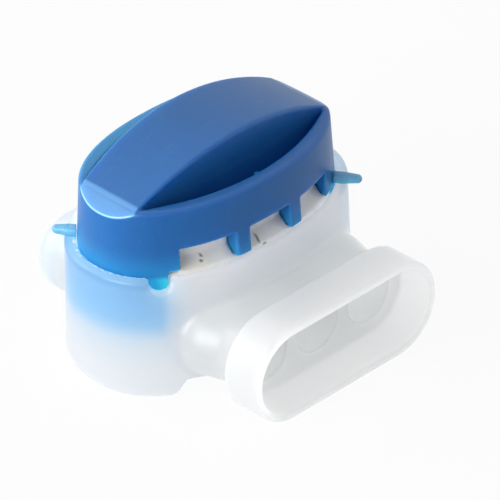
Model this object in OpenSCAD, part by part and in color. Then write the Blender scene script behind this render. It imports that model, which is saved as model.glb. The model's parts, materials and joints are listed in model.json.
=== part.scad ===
// Gel-filled three-way wire connector: a pale housing with an oval cup, a flared collar for three
// wires and a closed rear pocket, and a blue cap that is pressed down to crimp the wires.
// Millimetres, +Z up. The origin is the middle of the whole length and width, on the plane of the
// feet, and the collar's mouth faces -Y.

/* [Cup] */
// Length of the cup over its rim, along X
cup_len = 24; // [22:0.1:27]
// Width of the cup over its rim, along Y
cup_wid = 15.6; // [15:0.1:18]
// Height of the rim above the feet
cup_h = 10.8; // [10.4:0.1:13]
// Wall of the cup at the rim
cup_wall = 0.82; // [0.7:0.02:1]
// How much the cup's outside widens down to the feet, on each side
cup_draft = 0.25; // [0:0.05:0.4]
// Rounding of the cup's bottom edge
foot_round = 2.1; // [1.2:0.1:2.2]
// Rounding of the rim's outer edge
rim_round = 0.3; // [0.1:0.05:0.4]
// Thickness of the floors
floor_t = 0.85; // [0.7:0.05:0.9]
// Width of the raised underside between the two feet
arch_w = 16.8; // [16.4:0.1:17.4]
// Distance of the two notches in the rim from the middle, along X
notch_x = 9.25; // [8.8:0.05:9.4]
// Width of the two notches in the rim
notch_w = 1.95; // [1.6:0.05:2.1]
// Depth of the two notches in the rim
notch_deep = 1.1; // [1.1:0.05:2]

/* [Wire ways] */
// Radius of the three wire holes
wire_r = 2.1; // [1.6:0.05:2.15]
// Distance between neighbouring wire holes
wire_pitch = 5.3; // [5.1:0.05:5.4]
// Height of the wire holes' axes above the feet
wire_z = 5.2; // [5:0.1:5.3]
// Length of the cradle that holds the wires up, along Y
cradle_len = 3.2; // [2:0.1:3.6]
// Reach of the cradle beyond the outer wires
cradle_reach = 0.35; // [0.2:0.05:0.6]

/* [Neck and collar] */
// Width of the neck
neck_w = 16.6; // [16.4:0.1:17.2]
// Height of the neck
neck_h = 6.1; // [6:0.1:6.6]
// How much wider the neck is where it meets the cup, on each side
neck_flare = 0.6; // [0:0.1:0.8]
// Distance from the collar to where the neck starts to widen
neck_plain = 1.4; // [0.8:0.1:1.8]
// Length of the stretch in which the neck widens
neck_blend = 2.8; // [2:0.1:3]
// Width of the collar
collar_w = 18.7; // [18.4:0.1:21]
// Height of the collar
collar_h = 7.9; // [7.6:0.1:9]
// Depth of the collar from front to back
collar_deep = 3.45; // [3:0.05:4]
// Wall round the collar's mouth
collar_wall = 0.7; // [0.6:0.05:0.9]
// Thickness of the web behind the collar's mouth
collar_web = 0.4; // [0.3:0.05:0.6]
// Rounding of the collar's outer edges
collar_round = 0.3; // [0.1:0.05:0.4]
// Distance from the cup's middle to the collar's mouth
mouth_y = 14.4; // [13.6:0.1:16]

/* [Rear pocket] */
// Width of the rear pocket
pocket_w = 16.6; // [16.4:0.1:17.2]
// Height of the rear pocket
pocket_h = 6.2; // [6.1:0.1:6.6]
// Distance from the cup's middle to the pocket's closed end
pocket_y = 10.4; // [9.8:0.1:12]
// Rounding of the pocket's closed end
pocket_round = 1.6; // [0.8:0.1:1.8]
// Wall at the blind end of the middle wire hole
pocket_wall = 1.1; // [0.8:0.1:1.4]
// How much sooner the outer wire holes end, beside the pocket's rounding
blind_step = 0.3; // [0.1:0.05:0.6]

/* [Cap] */
// Gap between the cap and the rim all round
cap_gap = 0.12; // [0.1:0.01:0.2]
// Height of the cap's side wall above the rim
cap_rise = 5.2; // [4.8:0.1:6.5]
// How much the side wall narrows up to its top edge
cap_taper = 0.28; // [0.1:0.02:0.4]
// Rounding of the side wall's top edge
cap_round = 0.35; // [0.2:0.05:0.5]
// Thickness of the cap's side wall
cap_wall = 1.4; // [1.2:0.05:1.5]
// Thickness of the deck under the recesses
deck_t = 0.9; // [0.7:0.05:1.2]
// Half the distance between the two tongues that reach down into the cup
tongue_x = 8.4; // [8.2:0.05:9]
// Distance from the middle to the far edge of the windows next to a notch
window_far = 7.65; // [7.2:0.05:8]
// Distance from the middle to the far edge of the other windows
window_near = 6.7; // [6.5:0.05:7.5]
// Height of the windows' top edge above the rim
window_rise = 1.95; // [1.6:0.05:2.2]
// Width of a leg between two windows
leg_w = 1.25; // [1:0.05:1.5]
// Reach of the legs below the rim
leg_drop = 0.1; // [0:0.05:0.4]
// How much sooner than a leg the wall next to a notch ends
stub_rise = 0.3; // [0:0.05:0.5]
// How far the cap goes down when it is crimped
travel = 3.3; // [2.5:0.1:3.8]
// Gap between the tongues and the cup's floor when the cap is down
seat_gap = 0.15; // [0.1:0.05:0.4]

/* [Cap grip] */
// Half the length of the grip rib, where its creased ends lie
rib_x = 9.8; // [9.4:0.05:10]
// Half the width of the grip rib at its middle
rib_mid = 3.05; // [2.6:0.05:3.2]
// Half the width of the grip rib at its ends
rib_end = 2.8; // [2.4:0.05:3]
// Rise of the crown above the side wall's top edge
crown_rise = 2.6; // [2:0.1:3.2]
// Width of the wall's top beside a recess, at its middle
land_w = 1.2; // [0.9:0.05:1.5]
// Slope of the facets beyond the rib's ends
facet_slope = 54; // [40:1:60]
// Skin of the crown over its cored pockets
crown_skin = 1.4; // [1:0.1:2]

/* [Contact] */
// Thickness of the contact's sheet metal
sheet_t = 0.5; // [0.4:0.05:0.6]
// Half the length of the contact
contact_x = 6.9; // [6.8:0.05:7]
// Half the width of the contact, over its two blades
contact_y = 3; // [2.4:0.1:3.1]
// Gap between the wires and the blades before crimping
blade_clear = 0.1; // [0.1:0.05:0.6]
// Width of a slot that bites through the insulation
slot_w = 0.6; // [0.4:0.05:0.8]
// Depth of a slot
slot_deep = 3.8; // [3:0.1:4]
// Height of the points between two slots
point_h = 0.8; // [0.6:0.1:1.2]
// Width of the points' flat tips
point_w = 0.7; // [0.3:0.1:1]
// Radius of the two posts that hold the contact
post_r = 0.6; // [0.5:0.05:0.8]
// Half the distance between the two posts
post_x = 1.7; // [1.4:0.1:1.8]
// Gap between a post and its hole
post_gap = 0.03; // [0.02:0.01:0.05]

/* [Sealant] */
// Gap between the cradle and the sealant when the cap is down
gel_clear = 0.3; // [0.2:0.05:1]
// Gap between the sealant and what it fills
gel_gap = 0.03; // [0.02:0.01:0.05]
// How far the sealant in the windows lies behind the cap's face
gel_inset = 0.3; // [0.1:0.05:0.8]

/* [Shear pins] */
// Radius of a pin at the cap
pin_r = 0.46; // [0.4:0.02:0.6]
// Length of the left pin, which is worn at its tip
pin_left_len = 1.8; // [1.6:0.1:2.6]
// Length of the right pin
pin_right_len = 2.1; // [1.8:0.1:2.6]
// Place of the left pin round the cap, from the X axis
pin_left_turn = 148; // [140:1:160]
// Place of the right pin round the cap, from the X axis
pin_right_turn = 318; // [310:1:330]
// Direction in which the left pin points, from the X axis
pin_aim = 125; // [115:1:150]
// Gap between a pin and the cap's wall
pin_gap = 0.05; // [0.03:0.01:0.1]

/* [Hidden] */

// Points round an oval, and round one end of the collar
round_n = 72;
end_n = 16;
// Roundness of the ovals' outlines: 2 is an ellipse, more is squarer
oval_power = 2.2;
// Overlap of a cut past the face that it opens
over = 1;
// Small bevel at the inner edges of the rim and the collar, and how far edges lie apart at a blend
bevel = 0.1;
// Slant of the flanks between the feet, and their rounding
arch_flank = 0.5;
arch_fillet = 0.4;
// How far the hollows in the feet keep from the cavity's wall
pit_inset = 0.8;

cup_a = cup_len / 2;
cup_b = cup_wid / 2;
// Where the cup's middle lies, so that the origin is midway between the mouth and the pocket's end
cup_y = (mouth_y - pocket_y) / 2;
// The cavity's half length and half width at the rim, and its taper to the floor
cav_a = cup_a - cup_wall;
cav_b = cup_b - cup_wall;
cav_taper = 0.05;
arch_z = wire_z - neck_h / 2;
floor_z = arch_z + floor_t;
pit_x = arch_w / 2 + arch_flank + floor_t / 2;
// Faces along the wire ways
collar_back = -(mouth_y - collar_deep);
recess_y = collar_back - collar_web;
blind_y = pocket_y - pocket_wall;
cradle_x = wire_pitch + wire_r + cradle_reach;
// The notches sit in the middle of the rim's wall, square to it
notch_y = outline_y(notch_x, cup_a - cup_wall / 2, cup_b - cup_wall / 2);
notch_aim = outline_aim(notch_x, notch_y, cup_a, cup_b);
notch_reach = cup_wall + 0.6;

// The cap's outline where it passes the rim, and its levels
cap_a = cav_a - cap_gap;
cap_b = cav_b - cap_gap;
// The tongues' tips lie further in, which leads them into the cup
lead = 0.25;
wall_top = cup_h + cap_rise;
window_top = cup_h + window_rise;
// The windows end just below the ceiling over the contact
lintel = 0.15;
ceiling_z = window_top + lintel;
deck_z = ceiling_z + deck_t;
tongue_z = floor_z + travel + seat_gap;
leg_z = cup_h - leg_drop;
leg_x = wire_pitch / 2;
// Where the front windows start and end along X
window_edges = [
    -window_far, -leg_x - leg_w / 2, -leg_x + leg_w / 2,
    leg_x - leg_w / 2, leg_x + leg_w / 2, window_near
];
crown_r = (rib_x * rib_x + crown_rise * crown_rise) / (2 * crown_rise);
crown_z = wall_top + crown_rise - crown_r;
// The recess's outer edge is an arc through the rib's ends and the middle of the wall
land_b = cap_b - cap_taper - land_w;
land_x = rib_x - cap_round;
land_sag = land_b - rib_end;
land_r = (land_x * land_x + land_sag * land_sag) / (2 * land_sag);
// The posts' heads
head_h = 0.35;
head_r = post_r + head_h;
// The pockets that core out the rib lie beyond the posts, within the contact's width
core_wall = 0.7;
core_x0 = post_x + head_r + core_wall;
core_x1 = rib_x - crown_skin;
core_y = contact_y - sheet_t - core_wall;

blade_z = wire_z + wire_r + blade_clear;
gel_z = wire_z + travel + gel_clear;
gel_x = contact_x + 1;
// Shares of a pin's radius at its tip, and of its length that keeps the full radius
pin_tip = 0.75;
pin_root = 0.3;

// Where an oval of half length a and half width b lies, at an angle t
function oval_point(a, b, t) = [
    a * sign(cos(t)) * pow(abs(cos(t)), 2 / oval_power),
    b * sign(sin(t)) * pow(abs(sin(t)), 2 / oval_power)
];

// One ring of points round an oval, at the height z
function oval(a, b, z) = [
    for (i = [0 : round_n - 1]) let (p = oval_point(a, b, 360 * i / round_n)) [p[0], p[1], z]
];

// How far out the oval lies at a distance x from the middle, and its normal's angle there
function outline_y(x, a, b) = b * pow(1 - pow(x / a, oval_power), 1 / oval_power);
function outline_aim(x, y, a, b) =
    atan2(pow(y / b, oval_power - 1) / b, pow(x / a, oval_power - 1) / a);

// One upright ring with round ends: half width w, half height h, centred on the wires' height
function slot_ring(w, h, y) = concat(
    [for (i = [0 : end_n]) let (t = 90 - 180 * i / end_n) [w - h + h * cos(t), y, wire_z + h * sin(t)]],
    [for (i = [0 : end_n]) let (t = -90 - 180 * i / end_n) [h - w + h * cos(t), y, wire_z + h * sin(t)]]
);

// Everything below is drawn about the cup's middle and then put in its place
module in_place() {
    translate([0, cup_y, 0]) children();
}

// Solid through a list of rings, each with the same number of points
module skin(rings) {
    n = len(rings[0]);
    last = len(rings) - 1;
    points = [for (r = rings) each r];
    sides = [
        for (k = [0 : last - 1], i = [0 : n - 1])
            let (j = (i + 1) % n, p = k * n, q = p + n)
            each [[p + i, q + i, q + j], [p + i, q + j, p + j]]
    ];
    ends = [[for (i = [0 : n - 1]) i], [for (i = [n - 1 : -1 : 0]) last * n + i]];
    polyhedron(points, concat(ends, sides));
}

// Quarter round as [inset, fall] pairs for an edge of radius r, from the side to the face
function edge_steps(r, steps) = [
    for (i = [0 : steps]) let (t = 90 * i / steps) [r * (1 - cos(t)), r * (1 - sin(t))]
];

// The cup's spread at a height z, from its draft
function spread(z) = cup_draft * (cup_h - z) / cup_h;

module cup_outside() {
    low = [
        for (i = [6 : -1 : 0])
            let (e = edge_steps(foot_round, 6)[i], k = spread(foot_round) - e[0])
            oval(cup_a + k, cup_b + k, e[1])
    ];
    high = [
        for (e = edge_steps(rim_round, 3))
            let (k = spread(cup_h - e[1]) - e[0]) oval(cup_a + k, cup_b + k, cup_h - e[1])
    ];
    skin(concat(low, high));
}

module cup_cavity() {
    skin([
        oval(cav_a - cav_taper, cav_b - cav_taper, floor_z),
        oval(cav_a, cav_b, cup_h - bevel),
        oval(cav_a + bevel, cav_b + bevel, cup_h),
        oval(cav_a + bevel, cav_b + bevel, cup_h + over)
    ]);
    // Hollow feet beyond the arch
    intersection() {
        skin([
            oval(cav_a - pit_inset, cav_b - pit_inset, floor_t),
            oval(cav_a - cav_taper, cav_b - cav_taper, floor_z + bevel)
        ]);
        for (side = [-1, 1])
            translate([side * (pit_x + cup_a) / 2, 0, cup_h / 2])
                cube([cup_a - pit_x, cup_wid, 2 * cup_h], center = true);
    }
}

// The raised underside between the feet, with slanted flanks
module arch_cut() {
    half = arch_w / 2;
    rotate([90, 0, 0])
        linear_extrude(height = 2 * cup_wid, center = true)
            polygon([
                [-half - arch_flank, -over], [-half - arch_flank, 0],
                [-half, arch_z - arch_fillet], [-half + arch_fillet, arch_z],
                [half - arch_fillet, arch_z], [half, arch_z - arch_fillet],
                [half + arch_flank, 0], [half + arch_flank, -over]
            ]);
}

module neck() {
    w = neck_w / 2;
    h = neck_h / 2;
    start = collar_back + neck_plain;
    skin(concat(
        [slot_ring(w, h, collar_back - collar_web / 2)],
        [for (i = [0 : 6]) let (u = i / 6)
            slot_ring(w + neck_flare * u * u * (3 - 2 * u), h, start + neck_blend * u)],
        [slot_ring(w + neck_flare, h, 0)]
    ));
}

module collar() {
    w = collar_w / 2;
    h = collar_h / 2;
    edge = edge_steps(collar_round, 3);
    skin(concat(
        [for (i = [3 : -1 : 0]) slot_ring(w - edge[i][0], h - edge[i][0], edge[i][1] - mouth_y)],
        [for (e = edge) slot_ring(w - e[0], h - e[0], collar_back - e[1])]
    ));
}

module collar_recess() {
    w = collar_w / 2 - collar_wall;
    h = collar_h / 2 - collar_wall;
    skin([
        slot_ring(w, h, -mouth_y - over),
        slot_ring(w, h, -mouth_y),
        slot_ring(w - bevel, h - bevel, recess_y)
    ]);
}

module pocket() {
    w = pocket_w / 2;
    h = pocket_h / 2;
    skin(concat(
        [slot_ring(w, h, 0)],
        [for (e = edge_steps(pocket_round, 4)) slot_ring(w - e[0], h - e[0], pocket_y - e[1])]
    ));
}

module wire_holes() {
    for (i = [-1 : 1]) {
        end_y = blind_y - abs(i) * blind_step;
        translate([i * wire_pitch, end_y, wire_z])
            rotate([90, 0, 0])
                cylinder(r = wire_r, h = end_y - recess_y + over, $fn = 64);
    }
}

// A round-bottomed notch through the rim, at the front left and the rear right
module rim_notches() {
    r = notch_w / 2;
    for (turn = [180, 0])
        rotate([0, 0, turn])
            translate([notch_x, notch_y, cup_h - notch_deep + r])
                rotate([0, 0, notch_aim - 90]) {
                    rotate([90, 0, 0])
                        cylinder(r = r, h = 2 * notch_reach, center = true, $fn = 32);
                    translate([-r, -notch_reach, 0])
                        cube([notch_w, 2 * notch_reach, notch_deep + over]);
                }
}

module housing() {
    color("#eef3f7")
    in_place()
    difference() {
        union() {
            difference() {
                union() {
                    cup_outside();
                    neck();
                    pocket();
                }
                cup_cavity();
                arch_cut();
            }
            collar();
            // The cradle under the wires
            translate([-cradle_x, -cradle_len / 2, floor_z - floor_t / 2])
                cube([2 * cradle_x, cradle_len, wire_z - floor_z + floor_t / 2]);
        }
        collar_recess();
        wire_holes();
        rim_notches();
    }
}

module cap_outside() {
    k = cav_taper;
    top = [
        for (e = edge_steps(cap_round, 3))
            let (k = cap_taper + e[0]) oval(cap_a - k, cap_b - k, wall_top - e[1])
    ];
    skin(concat(
        [oval(cap_a - lead, cap_b - lead, tongue_z),
         oval(cap_a - k, cap_b - k, tongue_z + 2 * lead),
         oval(cap_a, cap_b, cup_h)],
        top
    ));
}

// Everything between the cap's walls, from below up to the given height
module cap_inside(top_z, clear) {
    k = cap_wall + clear;
    translate([0, 0, tongue_z - over])
        linear_extrude(height = top_z - tongue_z + over)
            polygon([for (p = oval(cap_a - k, cap_b - k, 0)) [p[0], p[1]]]);
}

// The crown's barrel, less the given skin, over the whole width
module crown_barrel(skin_t) {
    translate([0, 0, crown_z])
        rotate([90, 0, 0])
            cylinder(r = crown_r - skin_t, h = cup_wid, center = true, $fn = 180);
}

// The grip rib seen from above: straight ends and slightly bowed sides
module rib_plan() {
    side = [for (i = [-6 : 6]) [rib_x * i / 6, -rib_end - (rib_mid - rib_end) * (1 - pow(i / 6, 2))]];
    polygon(concat(side, [for (i = [6 : -1 : -6]) [side[i + 6][0], -side[i + 6][1]]]));
}

module crescent_recess() {
    intersection() {
        translate([0, land_r - land_b, deck_z])
            cylinder(r = land_r, h = cap_rise, $fn = 180);
        translate([-cup_a, -cup_b, deck_z])
            cube([cup_len, cup_b - rib_end, cap_rise]);
    }
}

module end_facet() {
    translate([rib_x, 0, wall_top])
        rotate([0, facet_slope, 0])
            translate([0, -cup_b, 0])
                cube([cup_wid, cup_wid, cup_wid]);
}

module windows() {
    // Below the legs the front and rear walls are open from tongue to tongue
    translate([-tongue_x, -cup_b, tongue_z - over])
        cube([2 * tongue_x, cup_wid, leg_z - tongue_z + over]);
    // Three windows in front, and the same turned round behind
    for (turn = [0, 180]) rotate([0, 0, turn]) {
        for (i = [0, 2, 4])
            translate([window_edges[i], -cup_b, leg_z - over])
                cube([window_edges[i + 1] - window_edges[i], cup_b, window_top - leg_z + over]);
        translate([-tongue_x, -cup_b, leg_z - over])
            cube([tongue_x - window_far + bevel, cup_b, stub_rise + over]);
    }
}

module cap() {
    color("#2f6fb3")
    in_place() {
        difference() {
            union() {
                difference() {
                    cap_outside();
                    for (turn = [0, 180]) rotate([0, 0, turn]) crescent_recess();
                }
                // The grip rib with its barrel crown
                intersection() {
                    translate([0, 0, ceiling_z])
                        linear_extrude(height = wall_top + crown_rise - ceiling_z)
                            rib_plan();
                    crown_barrel(0);
                }
            }
            for (turn = [0, 180]) rotate([0, 0, turn]) end_facet();
            cap_inside(ceiling_z, 0);
            windows();
            // Pockets that core out the rib at both ends
            intersection() {
                for (side = [-1, 1])
                    translate([side * (core_x0 + core_x1) / 2, 0, ceiling_z + crown_rise])
                        cube([core_x1 - core_x0, 2 * core_y, 3 * crown_rise], center = true);
                crown_barrel(crown_skin);
            }
        }
        // Posts with heads, formed over the contact's web
        for (side = [-1, 1])
            translate([side * post_x, 0, ceiling_z - sheet_t - post_gap - head_h]) {
                cylinder(r = post_r, h = sheet_t + post_gap + head_h + lintel, $fn = 32);
                cylinder(r = head_r, h = head_h, $fn = 32);
            }
    }
}

// The contact's cross-section: a channel with two blades, open downward
module contact_section() {
    bend = sheet_t / 2;
    corner = [for (i = [0 : 5]) let (t = 90 * i / 5) [cos(t), sin(t)]];
    y0 = contact_y - sheet_t - bend;
    z0 = ceiling_z - sheet_t - bend;
    outer = [for (c = corner) [y0 + (bend + sheet_t) * c[0], z0 + (bend + sheet_t) * c[1]]];
    inner = [for (c = corner) [y0 + bend * c[0], z0 + bend * c[1]]];
    right = concat([[contact_y, blade_z]], outer);
    left = [for (i = [len(right) - 1 : -1 : 0]) [-right[i][0], right[i][1]]];
    inside_left = [for (p = concat([[contact_y - sheet_t, blade_z]], inner)) [-p[0], p[1]]];
    inside_right = concat([for (i = [len(inner) - 1 : -1 : 0]) inner[i]], [[contact_y - sheet_t, blade_z]]);
    polygon(concat(right, left, inside_left, inside_right));
}

// What is cut from the blades' lower edge: slots with open mouths, and the flanks of the points
module slot_profile() {
    mouth = wire_pitch / 2 - point_w / 2;
    for (i = [-1 : 1])
        translate([i * wire_pitch, blade_z])
            polygon([
                [-mouth, -over], [-mouth, 0],
                [-slot_w / 2, point_h], [-slot_w / 2, slot_deep - slot_w / 2],
                [-slot_w / 4, slot_deep], [slot_w / 4, slot_deep],
                [slot_w / 2, slot_deep - slot_w / 2], [slot_w / 2, point_h],
                [mouth, 0], [mouth, -over]
            ]);
}

module contact() {
    color("#c9c4ba")
    in_place()
    difference() {
        rotate([90, 0, 90])
            linear_extrude(height = 2 * contact_x, center = true)
                contact_section();
        rotate([90, 0, 0])
            linear_extrude(height = 4 * contact_y, center = true)
                slot_profile();
        for (side = [-1, 1])
            translate([side * post_x, 0, ceiling_z - sheet_t - over])
                cylinder(r = post_r + post_gap, h = sheet_t + 2 * over, $fn = 32);
    }
}

// The sealant that fills the windows, and the stretch below the legs
module gel_in_windows() {
    face = [for (p = oval(cap_a - gel_inset, cap_b - gel_inset, 0)) [p[0], p[1]]];
    intersection() {
        translate([0, 0, gel_z])
            linear_extrude(height = window_top - gel_gap - gel_z)
                polygon(face);
        union() {
            for (turn = [0, 180], i = [0, 2, 4])
                rotate([0, 0, turn])
                    translate([window_edges[i] + gel_gap, -cup_b, gel_z])
                        cube([window_edges[i + 1] - window_edges[i] - 2 * gel_gap, cup_b, cap_rise]);
            translate([-gel_x, -cup_b, gel_z])
                cube([2 * gel_x, cup_wid, leg_z - gel_gap - gel_z]);
        }
    }
}

module sealant_gel() {
    color("#d8cfbf")
    in_place()
    difference() {
        union() {
            intersection() {
                cap_inside(ceiling_z - gel_gap, gel_gap);
                translate([-gel_x, -cup_b, gel_z])
                    cube([2 * gel_x, cup_wid, ceiling_z - gel_z]);
            }
            gel_in_windows();
        }
        // The space that the contact takes, with its web, blades and the posts' heads
        for (side = [-1, 1])
            translate([-contact_x - gel_gap, side * (contact_y - sheet_t / 2) - sheet_t / 2 - gel_gap, 0])
                cube([2 * (contact_x + gel_gap), sheet_t + 2 * gel_gap, ceiling_z + over]);
        translate([-contact_x - gel_gap, -contact_y - gel_gap, ceiling_z - sheet_t - 1])
            cube([2 * (contact_x + gel_gap), 2 * (contact_y + gel_gap), sheet_t + 1 + over]);
    }
}

// A tapered pin with a rounded tip, lying on the rim with its root against the cap
module shear_pin(turn, aim, len) {
    root = oval_point(cap_a + pin_gap, cap_b + pin_gap, turn);
    tip_r = pin_r * pin_tip;
    color("#5fc3e6")
    in_place()
    difference() {
        translate([root[0], root[1], cup_h + pin_r])
            rotate([0, 0, aim])
                rotate([0, 90, 0])
                    rotate_extrude($fn = 32)
                        polygon(concat(
                            [[0, -over], [pin_r, -over], [pin_r, len * pin_root]],
                            [for (i = [0 : 6]) let (t = 90 * i / 6)
                                [tip_r * cos(t), len - tip_r + tip_r * sin(t)]]
                        ));
        skin([
            oval(cap_a + pin_gap, cap_b + pin_gap, cup_h - over),
            oval(cap_a + pin_gap, cap_b + pin_gap, cup_h + 2 * pin_r + over)
        ]);
    }
}

module shear_pin_left() { shear_pin(pin_left_turn, pin_aim, pin_left_len); }
module shear_pin_right() { shear_pin(pin_right_turn, pin_aim + 180, pin_right_len); }

housing();
cap();
contact();
sealant_gel();
shear_pin_left();
shear_pin_right();
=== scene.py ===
import json
import math

import bpy
import numpy as np
from mathutils import Matrix, Vector


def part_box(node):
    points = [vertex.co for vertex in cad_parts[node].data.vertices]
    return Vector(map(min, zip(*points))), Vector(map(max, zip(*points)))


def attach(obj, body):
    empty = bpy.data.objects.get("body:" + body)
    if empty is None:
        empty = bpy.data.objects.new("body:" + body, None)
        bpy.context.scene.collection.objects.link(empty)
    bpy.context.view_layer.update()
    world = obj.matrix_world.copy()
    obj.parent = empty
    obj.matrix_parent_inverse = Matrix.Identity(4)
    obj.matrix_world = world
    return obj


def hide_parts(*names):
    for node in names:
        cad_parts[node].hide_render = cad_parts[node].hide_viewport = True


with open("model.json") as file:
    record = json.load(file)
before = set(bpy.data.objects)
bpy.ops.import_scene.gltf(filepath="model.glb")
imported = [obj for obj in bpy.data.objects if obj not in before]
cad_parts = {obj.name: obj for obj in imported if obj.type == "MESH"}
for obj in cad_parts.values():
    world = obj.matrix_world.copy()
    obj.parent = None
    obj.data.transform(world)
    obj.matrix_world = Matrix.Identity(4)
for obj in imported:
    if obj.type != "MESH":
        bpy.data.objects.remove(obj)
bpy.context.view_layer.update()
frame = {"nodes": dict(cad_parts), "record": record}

# Milky housing. One injection moulding of unpigmented polypropylene: an oval cup on two feet, a neck
# with a flared collar for the wires, and a closed pocket behind. Lengths in this file are millimetres.
MM = 0.001
mounts = {m["name"]: m for m in frame["record"]["mounts"]}
wire_hole = mounts["wire_hole_middle"]
wire_r = wire_hole["dims"]["r_mm"]
wire_z = wire_hole["pos_m"][2] / MM
wire_pitch = abs(mounts["wire_hole_left"]["pos_m"][0]) / MM
housing_low, housing_high = (np.array(corner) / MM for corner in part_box("housing"))

# The cup widens down to its feet by its draft, of which the foot's rounding leaves a share to see
cup_y = mounts["right_foot"]["pos_m"][1] / MM
cup_draft, draft_seen = 0.25, 0.8
cup_half = np.array([housing_high[0] - cup_draft * draft_seen, 7.8])
cup_h = housing_high[2]
cup_wall = 0.82
foot_round, rim_round, floor_t = 2.1, 0.3, 0.85
cav_half = cup_half - cup_wall
oval_power = 2.2
neck_half, neck_flare = (8.3, 3.05), 0.6
neck_plain, neck_blend = 1.4, 2.8
collar_half = np.array([9.35, 3.95])
collar_wall, collar_web, collar_deep = 0.7, 0.4, 3.45
mouth_y = housing_low[1] - cup_y
collar_back = mouth_y + collar_deep
recess_back = collar_back - collar_web
pocket_half, pocket_y, pocket_round = (8.3, 3.1), housing_high[1] - cup_y, 1.6
pocket_wall, blind_step = 1.1, 0.3
arch_half, arch_slant = 8.4, 0.5
arch_z = wire_z - neck_half[1]
floor_z = arch_z + floor_t
pit_inset, pit_overlap = 0.8, 0.5
cradle_reach, cradle_half, cradle_sunk = 0.35, 1.6, 0.4
notch_x, notch_w, notch_deep, notch_reach = 9.42, 1.6, 1.1, 0.6
seam_rise, seam_wide, seam_from = 0.05, 0.1, 0.3
# Radii of fillets and of rounded corners and edges
join_fillet, collar_fillet, cradle_fillet = 0.5, 0.3, 0.2
arch_round, cavity_round, pit_round, collar_round, collar_back_round = 0.4, 0.3, 0.2, 0.3, 0.35
arch_edge, pit_edge, cavity_edge, mouth_edge, bore_edge, notch_edge = 0.15, 0.1, 0.14, 0.18, 0.1, 0.12
recess_round = 0.25
housing_step = 0.185


def soft_max(a, b, r):
    """The larger of two distances, and near both zeros the distance to a round edge of radius r."""
    return np.minimum(np.maximum(a, b), -r) + np.hypot(np.maximum(a + r, 0), np.maximum(b + r, 0))


def soft_min(a, b, r):
    """The smaller of two distances, with a fillet of radius r where the two surfaces meet."""
    return -soft_max(-a, -b, r)


def oval_gap(x, y, half):
    """Distance from the oval |x/a|^p + |y/b|^p = 1: its level less one, over the level's slope."""
    u, v = np.abs(x) / half[0] + 1e-9, np.abs(y) / half[1] + 1e-9
    level = (u**oval_power + v**oval_power) ** (1 / oval_power)
    slope = np.hypot((u / level) ** (oval_power - 1) / half[0], (v / level) ** (oval_power - 1) / half[1])
    return (level - 1) / slope


def slot_gap(x, z, half):
    """Distance from a slot with round ends that runs along y: a level line at the wires' height,
    swollen by the slot's half height."""
    return np.hypot(np.maximum(np.abs(x) - (half[0] - half[1]), 0), z - wire_z) - half[1]


def oval_edge(x, half):
    """How far out the oval lies at a distance x from the middle, and its normal there: the slope of
    the oval's level, made one long."""
    y = half[1] * (1 - (x / half[0]) ** oval_power) ** (1 / oval_power)
    slope = [(x / half[0]) ** (oval_power - 1) / half[0], (y / half[1]) ** (oval_power - 1) / half[1]]
    return y, np.array(slope) / np.hypot(*slope)


def notch_gap(x, y, z, side):
    """Distance from the round-bottomed notch through the rim on one side: a slot square to the wall."""
    at_y, normal = oval_edge(notch_x, cup_half - cup_wall / 2)
    px, py = side * x - notch_x, side * y - at_y
    across, along = px * normal[1] - py * normal[0], px * normal[0] + py * normal[1]
    r = notch_w / 2
    below = np.minimum(z - (cup_h - notch_deep + r), 0)
    return np.maximum(np.hypot(across, below) - r, np.abs(along) - cup_wall - notch_reach)


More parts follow.
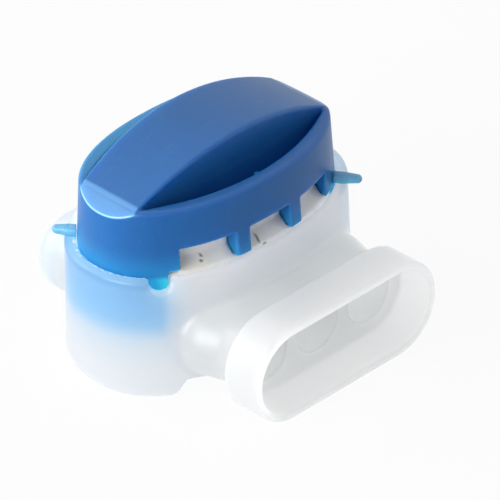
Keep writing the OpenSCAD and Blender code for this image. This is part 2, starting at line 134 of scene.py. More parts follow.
def housing_gap(x, y, z):
    """Distance from the housing's surface, negative in the plastic: cup, neck and pocket joined with
    fillets, less cavity, arch and feet's hollows, plus collar and cradle, less the recess, the wire
    holes and the notches."""
    y = y - cup_y
    spread = cup_draft * (cup_h - z) / cup_h
    wall = oval_gap(x, y, (cup_half[0] + spread, cup_half[1] + spread))
    cup = soft_max(soft_max(wall, -z, foot_round), z - cup_h, rim_round)
    rise = np.clip((y - collar_back - neck_plain) / neck_blend, 0, 1)
    neck = slot_gap(x, z, (neck_half[0] + neck_flare * rise * rise * (3 - 2 * rise), neck_half[1]))
    neck = np.maximum(neck, np.maximum(y, collar_back - collar_web / 2 - y))
    pocket = soft_max(slot_gap(x, z, pocket_half), y - pocket_y, pocket_round)
    outside = soft_min(soft_min(cup, neck, join_fillet), np.maximum(pocket, -y), join_fillet)
    seam = np.clip(1 - np.abs(z - wire_z) / seam_wide, 0, 1) * (np.abs(y) > cup_half[1] * seam_from)
    outside = outside - seam_rise * seam
    arch = soft_max(np.abs(x) - arch_half - arch_slant * (1 - z / arch_z), z - arch_z, arch_round)
    body = soft_max(outside, -arch, arch_edge)
    cavity = soft_max(oval_gap(x, y, cav_half), floor_z - z, cavity_round)
    pit = soft_max(oval_gap(x, y, cav_half - pit_inset), floor_t - z, cavity_round)
    pit = soft_max(pit, arch_half + arch_slant + floor_t / 2 - np.abs(x), pit_round)
    hollow = soft_min(cavity, np.maximum(pit, z - floor_z - pit_overlap), pit_edge)
    body = soft_max(body, -hollow, cavity_edge)
    collar = soft_max(slot_gap(x, z, collar_half), mouth_y - y, collar_round)
    body = soft_min(body, soft_max(collar, y - collar_back, collar_back_round), collar_fillet)
    cradle = np.maximum(np.abs(x) - wire_pitch - wire_r - cradle_reach, np.abs(y) - cradle_half)
    cradle = np.maximum(cradle, np.maximum(z - wire_z, arch_z + cradle_sunk - z))
    body = soft_min(body, cradle, cradle_fillet)
    recess = soft_max(slot_gap(x, z, collar_half - collar_wall), y - recess_back, recess_round)
    body = soft_max(body, -recess, mouth_edge)
    for i in (-1, 0, 1):
        bore = np.hypot(x - i * wire_pitch, z - wire_z) - wire_r
        bore = np.maximum(bore, y - pocket_y + pocket_wall + blind_step * abs(i))
        body = soft_max(body, -bore, bore_edge)
    for side in (-1, 1):
        body = soft_max(body, -notch_gap(x, y, z, side), notch_edge)
    return body


def pulled(gap, points, step):
    """Points moved on to the surface gap = 0 by one Newton step down the slope, which is measured
    across a short reach each way, and by no more than one grid step."""
    reach, flattest = 0.02, 0.2
    here = gap(*points.T)
    ways = reach * np.eye(3)
    slope = np.stack([(gap(*(points + way).T) - gap(*(points - way).T)) / (2 * reach) for way in ways], 1)
    steep = np.maximum((slope**2).sum(1), flattest)
    return points - np.clip(here / steep, -step, step)[:, None] * slope


def evened(gap, points, quads, step):
    """Points moved half way to the middle of the quads that meet there, a few times, and pulled on to
    the surface gap = 0 each time, and then pulled a few times more."""
    even_turns, pull_turns = 3, 5
    corner_count = np.bincount(quads.ravel(), minlength=len(points))[:, None]
    for turn in range(pull_turns):
        if turn < even_turns:
            middle = np.repeat(points[quads].mean(1), 4, axis=0)
            around = np.stack([np.bincount(quads.ravel(), middle[:, k], len(points)) for k in range(3)], 1)
            points = 0.5 * points + 0.5 * around / corner_count
        points = pulled(gap, points, step)
    return points


def net(gap, low, high, step):
    """Points and quads of the surface gap = 0: one point for each grid cell that the surface crosses,
    at the middle of the cell's edge crossings, and one quad round each crossed grid edge. The points
    are then evened out on the surface."""
    margin = 1.6 * step
    axes = [np.arange(a - margin, b + margin, step) for a, b in zip(low, high)]
    value = gap(*np.meshgrid(*axes, indexing="ij")).astype(np.float32)
    inside = value < 0
    cells = np.array(value.shape) - 1
    total, hits = np.zeros((*cells, 3), np.float32), np.zeros(cells, np.int32)
    crossed_edges = []
    for axis in range(3):
        u, v = (axis + 1) % 3, (axis + 2) % 3
        near, far = [slice(None)] * 3, [slice(None)] * 3
        near[axis], far[axis] = slice(None, -1), slice(1, None)
        a, b = value[tuple(near)], value[tuple(far)]
        crossed = inside[tuple(near)] != inside[tuple(far)]
        share = np.where(crossed, a / np.where(crossed, a - b, 1), 0)
        for du, dv in ((0, 0), (0, 1), (1, 0), (1, 1)):
            pick = [slice(None)] * 3
            pick[u], pick[v] = slice(du, du + cells[u]), slice(dv, dv + cells[v])
            hit = crossed[tuple(pick)]
            hits += hit
            total[..., axis] += share[tuple(pick)] * hit
            total[..., u] += du * hit
            total[..., v] += dv * hit
        crossed_edges.append(np.argwhere(crossed))
    number = np.full(cells, -1)
    number[hits > 0] = np.arange((hits > 0).sum())
    points = (np.argwhere(hits > 0) + total[hits > 0] / hits[hits > 0][:, None]) * step
    points = points + np.array([a[0] for a in axes])
    quads = []
    for axis, edges in enumerate(crossed_edges):
        u, v = (axis + 1) % 3, (axis + 2) % 3
        at_u, at_v = edges[:, u], edges[:, v]
        edges = edges[(at_u > 0) & (at_v > 0) & (at_u < cells[u]) & (at_v < cells[v])]
        ring = []
        for du, dv in ((-1, -1), (0, -1), (0, 0), (-1, 0)):
            cell = edges.copy()
            cell[:, u] += du
            cell[:, v] += dv
            ring.append(number[tuple(cell.T)])
        ring = np.stack(ring, 1)
        quads.append(np.where(inside[tuple(edges.T)][:, None], ring, ring[:, ::-1]))
    quads = np.concatenate(quads)
    return evened(gap, points, quads, step), quads


def new_piece(name, points, faces):
    """A smooth-shaded piece at its place in the frame, from its points and faces."""
    mesh = bpy.data.meshes.new(name)
    mesh.from_pydata((points * MM).tolist(), [], faces)
    mesh.polygons.foreach_set("use_smooth", np.ones(len(faces), bool))
    piece = bpy.data.objects.new(name, mesh)
    bpy.context.scene.collection.objects.link(piece)
    return piece


def moulded(name, gap, low, high, step):
    """A piece whose surface is where its gap function is zero, netted at this step within a box."""
    points, quads = net(gap, low, high, step)
    return new_piece(name, points, quads.tolist())


housing = moulded("housing_moulding", housing_gap, housing_low, housing_high, housing_step)
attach(housing, "base")
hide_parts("housing")


def material(name, **sockets):
    """A new material whose Principled BSDF has these sockets set, and its node tree and shader."""
    made = bpy.data.materials.new(name)
    made.use_nodes = True
    shader = made.node_tree.nodes["Principled BSDF"]
    for socket, value in sockets.items():
        shader.inputs[socket.replace("_", " ")].default_value = value
    return made, made.node_tree, shader


def feed(tree, value, socket):
    """Links an output to a socket, or sets the socket to a number or colour."""
    if isinstance(value, bpy.types.NodeSocket):
        tree.links.new(value, socket)
    else:
        socket.default_value = value


def node(tree, kind, **settings):
    """A new node of this kind, whose inputs of these names are fed, or properties set."""
    made = tree.nodes.new("ShaderNode" + kind)
    for name, value in settings.items():
        spaced = name.replace("_", " ")
        if spaced in made.inputs:
            feed(tree, value, made.inputs[spaced])
        else:
            setattr(made, name, value)
    return made


def math_of(tree, operation, *values):
    """The output of a Math node that works on these outputs or numbers."""
    made = node(tree, "Math", operation=operation)
    for socket, value in zip(made.inputs, values):
        feed(tree, value, socket)
    return made.outputs[0]


def all_of(tree, *shares):
    """The product of several shares."""
    product = shares[0]
    for share in shares[1:]:
        product = math_of(tree, "MULTIPLY", product, share)
    return product


def step_of(tree, value, low, high):
    """The output of a Map Range node: 0 at low and 1 at high, with a soft rise between them."""
    made = node(tree, "MapRange", interpolation_type="SMOOTHSTEP", Value=value, From_Min=low, From_Max=high)
    return made.outputs["Result"]


def rise_of(tree, place, start, end):
    """A share that rises softly from 0 to 1 between two places, given in millimetres."""
    return step_of(tree, place, start * MM, end * MM)


def mix_of(tree, share, a, b):
    """The output of a Mix node: colour a with this share of colour b."""
    made = node(tree, "MixRGB")
    for socket, value in zip(made.inputs, (share, a, b)):
        feed(tree, value, socket)
    return made.outputs[0]


def layered(tree, share, under, over):
    """The output of a Mix Shader node: the shader over, in this share, on the shader under."""
    made = node(tree, "MixShader")
    for socket, value in zip(made.inputs, (share, under, over)):
        feed(tree, value, socket)
    return made.outputs[0]


def places(tree):
    """The Object coordinates as one output, and as three outputs by the names X, Y and Z."""
    where = node(tree, "TexCoord").outputs["Object"]
    return where, node(tree, "SeparateXYZ", Vector=where).outputs


# What all the moulded and stamped surfaces share: clouds in the colour, sparse scuffs along one way and
# a fine grain from the mould. Scales are per metre, heights in metres.
skin = bpy.data.node_groups.new("moulded_skin", "ShaderNodeTree")
skin_inputs = {
    "Color": (1, 1, 1, 1), "Scuff Color": (1, 1, 1, 1), "Cloud Scale": 200, "Cloud": 0.05, "Scuff": 0.2,
    "Roughness": 0.4, "Grain Scale": 5000, "Grain Height": 0.000004,
}
for label, value in skin_inputs.items():
    kind = "NodeSocketColor" if isinstance(value, tuple) else "NodeSocketFloat"
    skin.interface.new_socket(label, in_out="INPUT", socket_type=kind).default_value = value
for label, kind in (("Color", "Color"), ("Roughness", "Float"), ("Normal", "Vector")):
    skin.interface.new_socket(label, in_out="OUTPUT", socket_type="NodeSocket" + kind)
given, result = skin.nodes.new("NodeGroupInput").outputs, skin.nodes.new("NodeGroupOutput").inputs
cloud_bright, cloud_rough, scuff_rough = 2, 1.5, 0.25
where = node(skin, "TexCoord").outputs["Object"]
cloud = node(skin, "TexNoise", Vector=where, Scale=given["Cloud Scale"], Detail=3)
sway = math_of(skin, "MULTIPLY", math_of(skin, "SUBTRACT", cloud.outputs[0], 0.5), given["Cloud"])
stretched = node(skin, "Mapping", Vector=where, Rotation=(0.3, 0.2, 0.5), Scale=(1, 6, 4))
streaks = node(skin, "TexNoise", Vector=stretched.outputs[0], Scale=420, Detail=5, Roughness=0.7)
scuff = math_of(skin, "MULTIPLY", step_of(skin, streaks.outputs[0], 0.56, 0.74), given["Scuff"])
grain = node(skin, "TexNoise", Vector=where, Scale=given["Grain Scale"], Detail=2)
brightness = math_of(skin, "ADD", math_of(skin, "MULTIPLY", sway, cloud_bright), 1)
clouded = node(skin, "HueSaturation", Color=given["Color"], Value=brightness)
feed(skin, mix_of(skin, scuff, clouded.outputs[0], given["Scuff Color"]), result["Color"])
rough = math_of(skin, "ADD", given["Roughness"], math_of(skin, "MULTIPLY", sway, cloud_rough))
rough = math_of(skin, "ADD", rough, math_of(skin, "MULTIPLY", scuff, scuff_rough))
feed(skin, rough, result["Roughness"])
height = math_of(skin, "ADD", grain.outputs[0], scuff)
relief = node(skin, "Bump", Strength=1.0, Distance=given["Grain Height"], Height=height)
feed(skin, relief.outputs[0], result["Normal"])


def skinned(tree, shader, color, **values):
    """Puts the skin group into a material, with its own colour and values, ahead of the shader."""
    box = node(tree, "Group", node_tree=skin)
    feed(tree, color, box.inputs["Color"])
    for name, value in values.items():
        feed(tree, value, box.inputs[name.replace("_", " ")])
    feed(tree, box.outputs["Color"], shader.inputs["Base Color"])
    feed(tree, box.outputs["Roughness"], shader.inputs["Roughness"])
    feed(tree, box.outputs["Normal"], shader.inputs["Normal"])


def see_through(tree, shader, color, share, gloss):
    """Lets this share of the light go on through the wall, so that what lies behind shows as a blur,
    under the gloss of a smooth plastic face."""
    through = node(tree, "BsdfTranslucent", Color=color)
    wall = layered(tree, share, shader.outputs[0], through.outputs[0])
    shine = node(tree, "BsdfAnisotropic", Color=(1, 1, 1, 1), Roughness=gloss)
    front = math_of(tree, "SUBTRACT", 1, node(tree, "NewGeometry").outputs["Backfacing"])
    sheen = math_of(tree, "MULTIPLY", node(tree, "Fresnel", IOR=1.49).outputs[0], front)
    feed(tree, layered(tree, sheen, wall, shine.outputs[0]), tree.nodes["Material Output"].inputs["Surface"])


def within_round(tree, across, up, outside, inside):
    """A share that rises from 0 to 1 between two distances from an axis along Y, in millimetres. The
    distance is the length of what lies across and up from the axis."""
    away = node(tree, "CombineXYZ", X=across, Z=up)
    far = node(tree, "VectorMath", operation="LENGTH", Vector=away.outputs[0])
    return rise_of(tree, far.outputs["Value"], outside, inside)


milky, tree, shader = material("milky_polypropylene", IOR=1.49)
plain_milk, recess_shade_milk, bore_shade_milk = (0.93, 0.935, 0.945, 1), (0.89, 0.89, 0.885, 1), (0.79, 0.81, 0.80, 1)
pocket_shade_milk, show_through_milk, rim_show_through_milk = (0.84, 0.88, 0.92, 1), (0.70, 0.83, 0.90, 1), (0.45, 0.68, 0.83, 1)
glint_milk = (0.95, 0.96, 0.97, 1)
where, at = places(tree)
far_x = math_of(tree, "ABSOLUTE", at["X"])
far_y = math_of(tree, "ABSOLUTE", math_of(tree, "SUBTRACT", at["Y"], cup_y * MM))
over_axis = math_of(tree, "SUBTRACT", at["Z"], wire_z * MM)
# The cap's two tongues lie against the wall inside. Their blue is painted into the wall's ends as a painted
# show-through of light, where the tongues stand at rest: deeper just under the rim, and on the left over the
# rim's top as well
tongue_low, tongue_side, tongue_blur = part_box("cap")[0].z / MM, 8.65, 0.9
tint_fades, tint_full = 5.6, 5.0
on_left = rise_of(tree, at["X"], 1, -1)
below_rim = rise_of(tree, at["Z"], cup_h - 0.2, cup_h - 0.5)
painted_show_through = all_of(
    tree,
    rise_of(tree, far_x, tongue_side - 0.1, tongue_side + 0.15),
    rise_of(tree, far_y, tint_fades, tint_full),
    rise_of(tree, at["Z"], tongue_low - tongue_blur, tongue_low + tongue_blur),
    math_of(tree, "MAXIMUM", on_left, below_rim),
)
rim_show_through = all_of(tree, painted_show_through, rise_of(tree, at["Z"], cup_h - 1.0, cup_h - 0.1))
# Painted shade: the recess inside the collar is painted a little greyer and warmer than the outside, and the
# bores more so
recess_r, recess_y = collar_half[1] - collar_wall, cup_y + recess_back
past_straight = math_of(tree, "SUBTRACT", far_x, (collar_half[0] - collar_half[1]) * MM)
past_straight = math_of(tree, "MAXIMUM", past_straight, 0)
in_recess = all_of(
    tree,
    within_round(tree, past_straight, over_axis, recess_r + 0.3, recess_r + 0.1),
    rise_of(tree, at["Y"], recess_y + 0.2, recess_y),
)
bores_x, bores_y = 1.5 * wire_pitch, cup_y + pocket_y - 1.5
off_bore = math_of(tree, "WRAP", at["X"], wire_pitch / 2 * MM, -wire_pitch / 2 * MM)
in_bore = all_of(
    tree,
    within_round(tree, off_bore, over_axis, wire_r + 0.12, wire_r + 0.02),
    rise_of(tree, far_x, bores_x + 0.1, bores_x),
    rise_of(tree, at["Y"], bores_y + 0.1, bores_y),
)
# Painted shade: the pocket behind the cup is painted a little greyer and bluer than the cup
behind_cup = cup_y + cup_half[1]
in_pocket = rise_of(tree, at["Y"], behind_cup - 0.5, behind_cup + 0.5)
# Painted glints: pale specks of painted highlight lie along the rim's inner edge, which is the oval of the
# cavity
oval_level = math_of(
    tree,
    "ADD",
    math_of(tree, "POWER", math_of(tree, "DIVIDE", far_x, cav_half[0] * MM), oval_power),
    math_of(tree, "POWER", math_of(tree, "DIVIDE", far_y, cav_half[1] * MM), oval_power),
)
glint_noise = node(tree, "TexNoise", Vector=where, Scale=2600, Detail=2)
painted_glints = all_of(
    tree,
    rise_of(tree, at["Z"], cup_h - 0.3, cup_h - 0.1),
    step_of(tree, oval_level, 1.07, 1.04),
    step_of(tree, glint_noise.outputs[0], 0.51, 0.56),
)
milk = mix_of(tree, in_recess, plain_milk, recess_shade_milk)
milk = mix_of(tree, in_bore, milk, bore_shade_milk)
milk = mix_of(tree, in_pocket, milk, pocket_shade_milk)
milk = mix_of(tree, painted_show_through, milk, show_through_milk)
milk = mix_of(tree, rim_show_through, milk, rim_show_through_milk)
milk = mix_of(tree, painted_glints, milk, glint_milk)
skinned(tree, shader, milk, Scuff_Color=(1, 1, 1, 1), Cloud_Scale=170, Cloud=0.03, Scuff=0.25,
        Roughness=0.36, Grain_Scale=2500, Grain_Height=0.000006)
see_through(tree, shader, milk, share=0.88, gloss=0.3)
housing.data.materials.append(milky)

# Blue cap. One injection moulding of pigmented polypropylene that is pressed down into the cup: a side
# wall with windows and legs, two tongues, and a crowned grip rib between two crescent recesses.
cap_low, cap_high = (np.array(corner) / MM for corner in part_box("cap"))
cap_clear = 0.12
cap_half = cav_half - cap_clear
cap_taper, cap_round, cap_wall = 0.28, 0.35, 1.4
wall_top = cup_h + 5.2
window_top = cup_h + 1.95
ceiling_z = window_top + 0.15
deck_z = ceiling_z + 0.9
tongue_z, tongue_x = cap_low[2], 8.4
lead_in, lead_taper, tongue_taper = 0.5, 0.25, 0.05
leg_z, leg_x, leg_w, stub_rise = cup_h - 0.1, wire_pitch / 2, 1.25, 0.3
# Where the front windows start and end along x. The rear ones are the same, turned half round
window_far, window_near = 7.65, 6.7
windows = (
    (-window_far, -leg_x - leg_w / 2),
    (-leg_x + leg_w / 2, leg_x - leg_w / 2),
    (leg_x + leg_w / 2, window_near),
)
# The crown is an arc from one end of the rib to the other, and so is the inner side of each land
rib_x, rib_mid, rib_end = 9.8, 3.4, 2.8
crown_rise = cap_high[2] - wall_top
crown_r = (rib_x**2 + crown_rise**2) / (2 * crown_rise)
crown_z = cap_high[2] - crown_r
facet_slope = math.radians(38)
land_w = 1.2
land_x, land_b = rib_x - cap_round, cap_half[1] - cap_taper - land_w
land_r = (land_x**2 + (land_b - rib_end) ** 2) / (2 * (land_b - rib_end))
# Posts with heads hold the contact, and the crown is cored out on either side of them
post_x, post_r, post_sunk, head_h, head_gap = 1.7, 0.6, 0.3, 0.35, 0.03
sheet_t, contact_y = 0.5, 3.0
crown_skin, core_wall, core_overlap = 1.4, 0.7, 0.5
# The mark of the mould's gate, an oval bump on the recess's outer wall, a little below the land
gate_x, gate_r, gate_flat, gate_out, gate_top, gate_foot = 0.2, 0.22, 0.6, 0.05, 0.2, 0.6
# Radii of rounded corners and edges. The land's and the crown's grow from the rib's ends to its middle
cut_edge, crescent_end, deck_round, gate_fillet, rib_fillet = 0.12, 0.05, 0.3, 0.05, 0.1
land_edge, land_edge_grows, crown_edge, crown_edge_grows = 0.08, 0.2, 0.07, 0.25
facet_edge, ceiling_round, wall_edge, window_round, stub_edge = 0.2, 0.2, 0.15, 0.1, 0.1
core_round, post_fillet, head_round = 0.2, 0.1, 0.1
cap_step = 0.135


def band_gap(place, start, end):
    """Distance from the stretch between two places, negative between them."""
    return np.abs(place - (start + end) / 2) - (end - start) / 2


def cap_gap(x, y, z):
    """Distance from the cap's surface, negative in the plastic: the tapered oval wall under the land,
    less the crescents, plus the barrel-topped rib, less the facets, the inside and the windows."""
    y = y - cup_y
    heights = (tongue_z, tongue_z + lead_in, cup_h, wall_top)
    taper = np.interp(z, heights, (lead_taper, tongue_taper, 0, cap_taper))
    wall = oval_gap(x, y, (cap_half[0] - taper, cap_half[1] - taper))
    wall = soft_max(wall, tongue_z - z, cut_edge)
    bow = np.clip(1 - (x / rib_x) ** 2, 0, 1)
    side = rib_end + (rib_mid - rib_end) * bow
    crescent = soft_max(side - np.abs(y), np.hypot(x, np.abs(y) - land_b + land_r) - land_r, crescent_end)
    crescent = soft_max(crescent, deck_z - z, deck_round)
    top = soft_max(z - wall_top, -crescent, land_edge + land_edge_grows * bow)
    gate = np.hypot(x - gate_x, (y + land_b - gate_out) * gate_flat) - gate_r
    gate = np.maximum(np.maximum(gate, z - wall_top + gate_top), wall_top - gate_foot - z)
    top = soft_min(top, gate, gate_fillet)
    barrel = np.hypot(x, z - crown_z) - crown_r
    rib = soft_max(np.abs(y) - side, barrel, crown_edge + crown_edge_grows * bow)
    body = soft_max(wall, soft_min(top, rib, rib_fillet), cap_round)
    out, up = np.abs(x) - rib_x, z - wall_top
    facet = np.maximum(-(out * math.cos(facet_slope) - up * math.sin(facet_slope)),
                       -(out * math.sin(facet_slope) + up * math.cos(facet_slope)))
    body = soft_max(body, -facet, facet_edge)
    inner = soft_max(oval_gap(x, y, cap_half - cap_wall), z - ceiling_z, ceiling_round)
    body = soft_max(body, -inner, wall_edge)
    below_legs = np.maximum(np.abs(x) - tongue_x, z - leg_z)
    body = soft_max(body, -below_legs, cut_edge)
    # Places along x as they are in front, and turned half round behind
    front = np.where(y < 0, x, -x)
    for start, end in windows:
        window = soft_max(band_gap(front, start, end), z - window_top, window_round)
        body = soft_max(body, -window, cut_edge)
    below_stub = np.maximum(band_gap(front, -tongue_x, -window_far), z - leg_z - stub_rise)
    body = soft_max(body, -below_stub, stub_edge)
    core = band_gap(np.abs(x), post_x + post_r + head_h + core_wall, rib_x - crown_skin)
    core = soft_max(core, np.abs(y) - (contact_y - sheet_t - core_wall), core_round)
    core = np.maximum(soft_max(core, barrel + crown_skin, core_round), ceiling_z - core_overlap - z)
    body = soft_max(body, -core, cut_edge)
    off_post = np.hypot(np.abs(x) - post_x, y) - post_r
    head_z = ceiling_z - sheet_t - head_gap - head_h
    post = np.maximum(np.maximum(off_post, z - ceiling_z - post_sunk), head_z - z)
    head = soft_max(off_post - head_h, band_gap(z, head_z, head_z + head_h), head_round)
    return np.minimum(soft_min(body, post, post_fillet), head)


cap = moulded("cap_moulding", cap_gap, cap_low, cap_high, cap_step)
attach(cap, "press_cap")
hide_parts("cap")

blue, tree, shader = material("blue_polypropylene", IOR=1.49, Subsurface_Weight=1.0, Specular_IOR_Level=0.38,
                              Subsurface_Radius=(0.12, 0.6, 1.0), Subsurface_Scale=1.8 * MM)
deep_blue, facet_blue, highlight_blue = (0.009, 0.150, 0.45, 1), (0.20, 0.52, 0.90, 1), (0.38, 0.70, 0.95, 1)
rear_lit_blue, thin_blue = (0.035, 0.30, 0.55, 1), (0.03, 0.56, 0.92, 1)
where, at = places(tree)
# The facets are coloured paler than the rest, and a painted highlight runs along their lower edge. Each
# colour comes or goes between two distances from the facets' planes, which mirror each other across the cap
facet_goes, highlight_comes, highlight_goes = (0.08, 0.04), (0.03, 0.06), (0.13, 0.08)
facet_pale, leg_pale = 0.5, 0.25
facet_normal = (math.sin(facet_slope), 0, math.cos(facet_slope))
facet_level = rib_x * facet_normal[0] + wall_top * facet_normal[2]
both_sides = node(tree, "VectorMath", operation="ABSOLUTE", Vector=where)
level = node(tree, "VectorMath", operation="DOT_PRODUCT", Vector=both_sides.outputs[0])
level.inputs[1].default_value = facet_normal
off_facet = math_of(tree, "ABSOLUTE", math_of(tree, "SUBTRACT", level.outputs["Value"], facet_level * MM))
facet_share = math_of(tree, "MULTIPLY", rise_of(tree, off_facet, *facet_goes), facet_pale)
painted_highlight_share = all_of(
    tree,
    rise_of(tree, off_facet, *highlight_comes),
    rise_of(tree, off_facet, *highlight_goes),
    rise_of(tree, at["Z"], wall_top - 0.1, wall_top - 0.4),
)
# Painted light: the land behind the rib, and the rib's top next to it, are painted paler, as if lit from
# behind
painted_rear_light = all_of(
    tree,
    rise_of(tree, at["Y"], cup_y + 2.4, cup_y + 4.2),
    rise_of(tree, at["Z"], deck_z + 0.4, wall_top - 0.2),
)
# Painted light: the legs and what is sunk into the cup are painted a paler cyan, as if lit through the thin
# plastic and the milky wall
leg_glow = math_of(tree, "MULTIPLY", rise_of(tree, at["Z"], window_top + 0.3, leg_z), leg_pale)
sunk_glow = rise_of(tree, at["Z"], cup_h + 0.1, cup_h - 0.5)
color = mix_of(tree, facet_share, deep_blue, facet_blue)
color = mix_of(tree, painted_highlight_share, color, highlight_blue)
color = mix_of(tree, painted_rear_light, color, rear_lit_blue)
color = mix_of(tree, math_of(tree, "MAXIMUM", leg_glow, sunk_glow), color, thin_blue)
skinned(tree, shader, color, Scuff_Color=(0.25, 0.45, 0.75, 1), Cloud_Scale=130, Cloud=0.10, Scuff=0.08,
        Roughness=0.40, Grain_Scale=5200, Grain_Height=0.000010)
cap.data.materials.append(blue)

# Sealant. A soft grease-like gel that is filled in under the cap, round the contact, and stands in the
# windows a little behind the cap's face, where it has picked up specks of dirt.
gel_low, gel_high = (np.array(corner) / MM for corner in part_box("sealant_gel"))
gel_x, gel_clear = tongue_x - 0.1, 0.03
# How far the gel's face lies behind the cap's at the rim and, a little higher up, in the windows
foot_inset, window_inset = 0.3, 1.1
inset_foot_z, inset_window_z = cup_h - 0.1, cup_h + 0.7
contact_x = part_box("contact")[1].x / MM
web_drop = 1
# Two crossed ripples in the gel's face, with their radians per millimetre along x and z
ripple_rise, ripple_one, ripple_two, ripple_shift = 0.05, (2.3, 1.1), (1.7, -2.9), 0.8
gel_round, gel_edge, gel_fillet, gel_foot_round = 0.1, 0.12, 0.08, 0.2
gel_step = 0.16


def gel_gap(x, y, z):
    """Distance from the gel's surface, negative in the gel: the space inside the cap's wall, plus a
    block in each window and below the legs, less the contact's space, with a slightly wavy face."""
    y = y - cup_y
    ends = np.abs(x) - gel_x
    core = soft_max(oval_gap(x, y, cap_half - cap_wall - gel_clear), ends, gel_round)
    core = soft_max(core, z - ceiling_z + gel_clear, gel_round)
    wave = ripple_rise * np.sin(ripple_one[0] * x + ripple_one[1] * z)
    wave = wave * np.sin(ripple_two[0] * x + ripple_two[1] * z + ripple_shift)
    inset = np.interp(z, (inset_foot_z, inset_window_z), (foot_inset, window_inset))
    face = oval_gap(x, y, cap_half) + inset - wave
    front = np.where(y < 0, x, -x)
    blocks = np.maximum(ends, z - leg_z + gel_clear)
    for start, end in windows:
        block = soft_max(band_gap(front, start, end) + gel_clear, z - window_top + gel_clear, gel_round)
        blocks = np.minimum(blocks, block)
    body = soft_min(core, soft_max(face, blocks, gel_edge), gel_fillet)
    body = soft_max(body, gel_low[2] - z, gel_foot_round)
    blades = band_gap(np.abs(y), contact_y - sheet_t, contact_y)
    web = np.maximum(np.abs(y) - contact_y, ceiling_z - sheet_t - web_drop - z)
    contact = np.maximum(np.minimum(blades, web), np.abs(x) - contact_x)
    return np.maximum(body, gel_clear - contact)


# The net's box is lengthened to the gel's own ends, so that they are closed
gel_reach = np.array([gel_x - gel_high[0], 0, 0])
gel = moulded("sealant_fill", gel_gap, gel_low - gel_reach, gel_high + gel_reach, gel_step)
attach(gel, "press_cap")
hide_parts("sealant_gel")

sealant, tree, shader = material("clear_sealant", IOR=1.45, Subsurface_Weight=1.0,
                                 Subsurface_Radius=(1.0, 0.9, 0.7), Subsurface_Scale=1.0 * MM)
clear_gel, murky_gel, dirt_brown = (0.95, 0.955, 0.97, 1), (0.88, 0.83, 0.75, 1), (0.16, 0.16, 0.12, 1)
dirt_share, ruffle_size = 0.75, 0.25
# Specks of dirt in the front windows: each one's place along x and up z, and its half width and height
specks = (
    (-0.85, 11.18, 0.2, 0.45),
    (-0.38, 10.65, 0.3, 0.15),
    (-5.5, 11.45, 0.14, 0.14),
    (-5.7, 11.15, 0.2, 0.14),
)
where, at = places(tree)
murk = node(tree, "TexNoise", Vector=where, Scale=260, Detail=4, Roughness=0.6)
coarse = node(tree, "TexNoise", Vector=where, Scale=2500, Detail=2)
ruffle = node(tree, "VectorMath", operation="SCALE", Vector=coarse.outputs["Color"], Scale=ruffle_size * MM)
ruffled = node(tree, "VectorMath", operation="ADD", Vector=where)
feed(tree, ruffle.outputs[0], ruffled.inputs[1])
dirt = 0
for speck_x, speck_z, wide, tall in specks:
    near = node(tree, "Mapping", vector_type="TEXTURE", Vector=ruffled.outputs[0],
                Location=(speck_x * MM, 0, speck_z * MM), Scale=(wide * MM, 1, tall * MM))
    far = node(tree, "VectorMath", operation="LENGTH", Vector=near.outputs[0])
    dirt = math_of(tree, "MAXIMUM", dirt, step_of(tree, far.outputs["Value"], 1.0, 0.3))
in_front = rise_of(tree, at["Y"], cup_y, cup_y - 1)
color = mix_of(tree, step_of(tree, murk.outputs[0], 0.42, 0.72), clear_gel, murky_gel)
color = mix_of(tree, all_of(tree, dirt, in_front, dirt_share), color, dirt_brown)
skinned(tree, shader, color, Scuff_Color=(0.85, 0.82, 0.78, 1), Cloud_Scale=500, Cloud=0.06, Scuff=0.3,
        Roughness=0.22, Grain_Scale=1500, Grain_Height=0.00003)
gel.data.materials.append(sealant)

# Contact. One channel of tin-plated sheet, stamped with three slots in each of its two blades and
# folded, and held by the posts under the cap. The slots cut through the wires' insulation.
tin, tree, shader = material("tinned_sheet", Metallic=1.0)
skinned(tree, shader, (0.72, 0.70, 0.67, 1), Scuff_Color=(0.5, 0.47, 0.43, 1), Cloud_Scale=600, Cloud=0.12,
        Scuff=0.5, Roughness=0.32, Grain_Scale=3000, Grain_Height=0.000008)
frame["nodes"]["contact"].data.materials.clear()
frame["nodes"]["contact"].data.materials.append(tin)

# Shear pins. Two thin pins moulded with the cap, which lie on the rim and hold the cap up until it is
# crimped. They are so thin that the blue turns clear and light.
pin_r, pin_tip, pin_root, pin_gap = 0.46, 0.75, 0.3, 0.05
# Rings and points in a ring, the share of the rings on the shank, and the turns that seat the root
pin_rings, pin_sides, shank, seat_turns = 40, 48, 0.6, 12
thin, tree, shader = material("thin_blue", IOR=1.49, Subsurface_Weight=1.0,
                              Subsurface_Radius=(0.2, 0.8, 1.0), Subsurface_Scale=0.6 * MM)
pin_blue, shaded_blue = (0.16, 0.48, 0.70, 1), (0.07, 0.46, 0.66, 1)
_, at = places(tree)
# Painted shade: the pins' lower sides are painted a slightly deeper blue
underside_shade = rise_of(tree, at["Z"], cup_h + pin_r, cup_h + 0.1)
skinned(tree, shader, mix_of(tree, underside_shade, pin_blue, shaded_blue), Scuff_Color=(0.4, 0.8, 0.95, 1),
        Cloud_Scale=900, Cloud=0.1, Scuff=0.3, Roughness=0.25, Grain_Scale=5000, Grain_Height=0.000006)


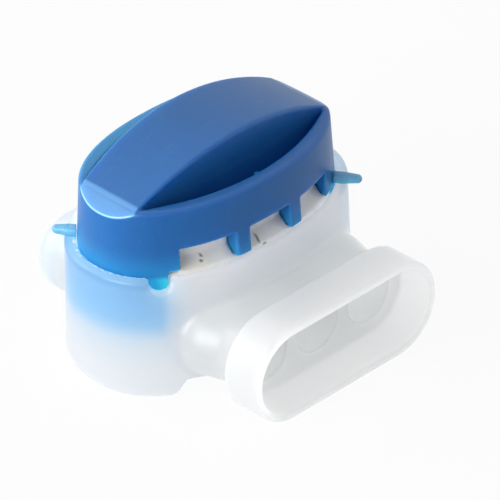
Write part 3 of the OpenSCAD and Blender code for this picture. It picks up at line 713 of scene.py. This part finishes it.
def pin(name, solid, turn, aim, length):
    """A tapered pin: rings of a circle along its axis, whose radius is even at the root, then narrows
    evenly and falls to nothing at the tip along a quarter circle. Its root follows the cap's wall."""
    t = math.radians(turn)
    half = cap_half + pin_gap
    outward = (math.cos(t), math.sin(t))
    root = [h * math.copysign(abs(c) ** (2 / oval_power), c) for h, c in zip(half, outward)]
    along = np.array([math.cos(math.radians(aim)), math.sin(math.radians(aim)), 0])
    side, rise = np.array([-along[1], along[0], 0]), np.array([0, 0, 1])
    turns = np.linspace(0, 2 * np.pi, pin_sides, endpoint=False)
    u, v = np.meshgrid(np.linspace(0, 1, pin_rings), turns, indexing="ij")
    tip_r = pin_r * pin_tip
    body_len = length - tip_r
    tip_turn = (u - shank) / (1 - shank) * np.pi / 2
    s = np.where(u < shank, u / shank * body_len, body_len + tip_r * np.sin(tip_turn))
    narrowed = np.interp(s, (0, pin_root * length, body_len), (pin_r, pin_r, tip_r))
    r = np.where(u < shank, narrowed, tip_r * np.cos(tip_turn))
    points = (np.array([root[0], root[1] + cup_y, cup_h + pin_r]) + (r * np.cos(v))[..., None] * side
              + (r * np.sin(v))[..., None] * rise)
    # The root's ring is slid along the axis until it meets the cap's wall
    reach = np.zeros_like(s)
    for _ in range(seat_turns):
        slid = points + reach[..., None] * along
        reach = reach - oval_gap(slid[..., 0], slid[..., 1] - cup_y, half)
    start = np.where(u < shank, 1 - u / shank, 0) * reach
    points = points + (np.maximum(s, 0) + start)[..., None] * along
    grid = np.arange(u.size).reshape(u.shape)
    turned = np.roll(grid, -1, 1)
    quads = np.stack([grid[:-1], turned[:-1], turned[1:], grid[1:]], -1).reshape(-1, 4)
    faces = quads.tolist() + [grid[0, ::-1].tolist(), grid[-1].tolist()]
    piece = new_piece(name, points.reshape(-1, 3), faces)
    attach(piece, "base")
    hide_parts(solid)
    piece.data.materials.append(thin)


pin("left_pin", "shear_pin_left", turn=148, aim=125, length=1.8)
pin("right_pin", "shear_pin_right", turn=318, aim=305, length=2.1)

# Floor, lights and camera of the photograph: a white sweep, a large soft lamp on the left and weaker
# ones above, behind and on the right. Floor and sky show white, but light the piece only a little.
# How far the floor and the lamps reach is in metres.
scene = bpy.context.scene
scene.view_settings.view_transform = "Standard"
floor_reach, floor_glow, sky_level = 2, 0.92, 0.22
floor_mesh = bpy.data.meshes.new("floor")
corners = [(floor_reach * x, floor_reach * y, 0) for x, y in ((-1, -1), (1, -1), (1, 1), (-1, 1))]
floor_mesh.from_pydata(corners, [], [(0, 1, 2, 3)])
floor = bpy.data.objects.new("floor", floor_mesh)
scene.collection.objects.link(floor)


def seen_directly(tree):
    """1 for the rays of the camera, of reflections and through clear plastic, and 0 for the rest."""
    path = node(tree, "LightPath").outputs
    share = math_of(tree, "MAXIMUM", path["Is Camera Ray"], path["Is Glossy Ray"])
    return math_of(tree, "MAXIMUM", share, path["Is Transmission Ray"])


paper, tree, shader = material("white_paper", Base_Color=(0.9, 0.9, 0.9, 1), Roughness=0.9)
glow = node(tree, "Emission", Strength=1.0)
glow_share = math_of(tree, "MULTIPLY", seen_directly(tree), floor_glow)
lit_paper = layered(tree, glow_share, shader.outputs[0], glow.outputs[0])
feed(tree, lit_paper, tree.nodes["Material Output"].inputs["Surface"])
floor.data.materials.append(paper)

world = bpy.data.worlds.new("studio")
scene.world = world
world.use_nodes = True
tree = world.node_tree
sky = tree.nodes["Background"]
sky.inputs["Color"].default_value = (0.97, 0.98, 1, 1)
sky.inputs["Strength"].default_value = sky_level
white = node(tree, "Background", Color=(1, 1, 1, 1))
backdrop = layered(tree, seen_directly(tree), sky.outputs[0], white.outputs[0])
feed(tree, backdrop, tree.nodes["World Output"].inputs["Surface"])

rim = Vector((0, cup_y, cup_h)) * MM


def softbox(name, towards, distance, size, power):
    """A square area lamp at a distance from the rim's middle, in the given direction, facing it. Its
    distance and size are in metres."""
    lamp = bpy.data.lights.new(name, "AREA")
    lamp.size, lamp.energy = size, power
    holder = bpy.data.objects.new(name, lamp)
    direction = Vector(towards).normalized()
    holder.location = rim + direction * distance
    holder.rotation_euler = direction.to_track_quat("Z", "Y").to_euler()
    scene.collection.objects.link(holder)


softbox("key", towards=(-1, 0, 0.32), distance=0.5, size=0.35, power=2.1)
softbox("top", towards=(0.1, 0.3, 1), distance=0.6, size=0.4, power=0.55)
softbox("back", towards=(-0.6, 1, 0.6), distance=0.5, size=0.35, power=1.1)
softbox("fill", towards=(0.9, -0.3, 0.3), distance=0.6, size=0.5, power=0.5)

# The camera's axes and how far it stands right of, below and back from the rim's middle
azimuth, elevation, roll = (math.radians(a) for a in (-44.0045, 33.6548, 1.4552))
camera_right, camera_down, camera_back = 3.09, 3.5031, 498.2
level_out = Vector((math.sin(azimuth), -math.cos(azimuth), 0))
back = level_out * math.cos(elevation) + Vector((0, 0, math.sin(elevation)))
right = Vector((math.cos(azimuth), math.sin(azimuth), 0))
up = back.cross(right)
camera_data = bpy.data.cameras.new("camera")
camera_data.sensor_width, camera_data.lens = 36, 487.8
camera_data.clip_start, camera_data.clip_end = 0.01, 20
camera = bpy.data.objects.new("camera", camera_data)
scene.collection.objects.link(camera)
scene.camera = camera
across = right * math.cos(roll) - up * math.sin(roll)
upward = right * math.sin(roll) + up * math.cos(roll)
turn = Matrix((across, upward, back)).transposed().to_4x4()
stand = rim + (right * camera_right - up * camera_down + back * camera_back) * MM
camera.matrix_world = Matrix.Translation(stand) @ turn
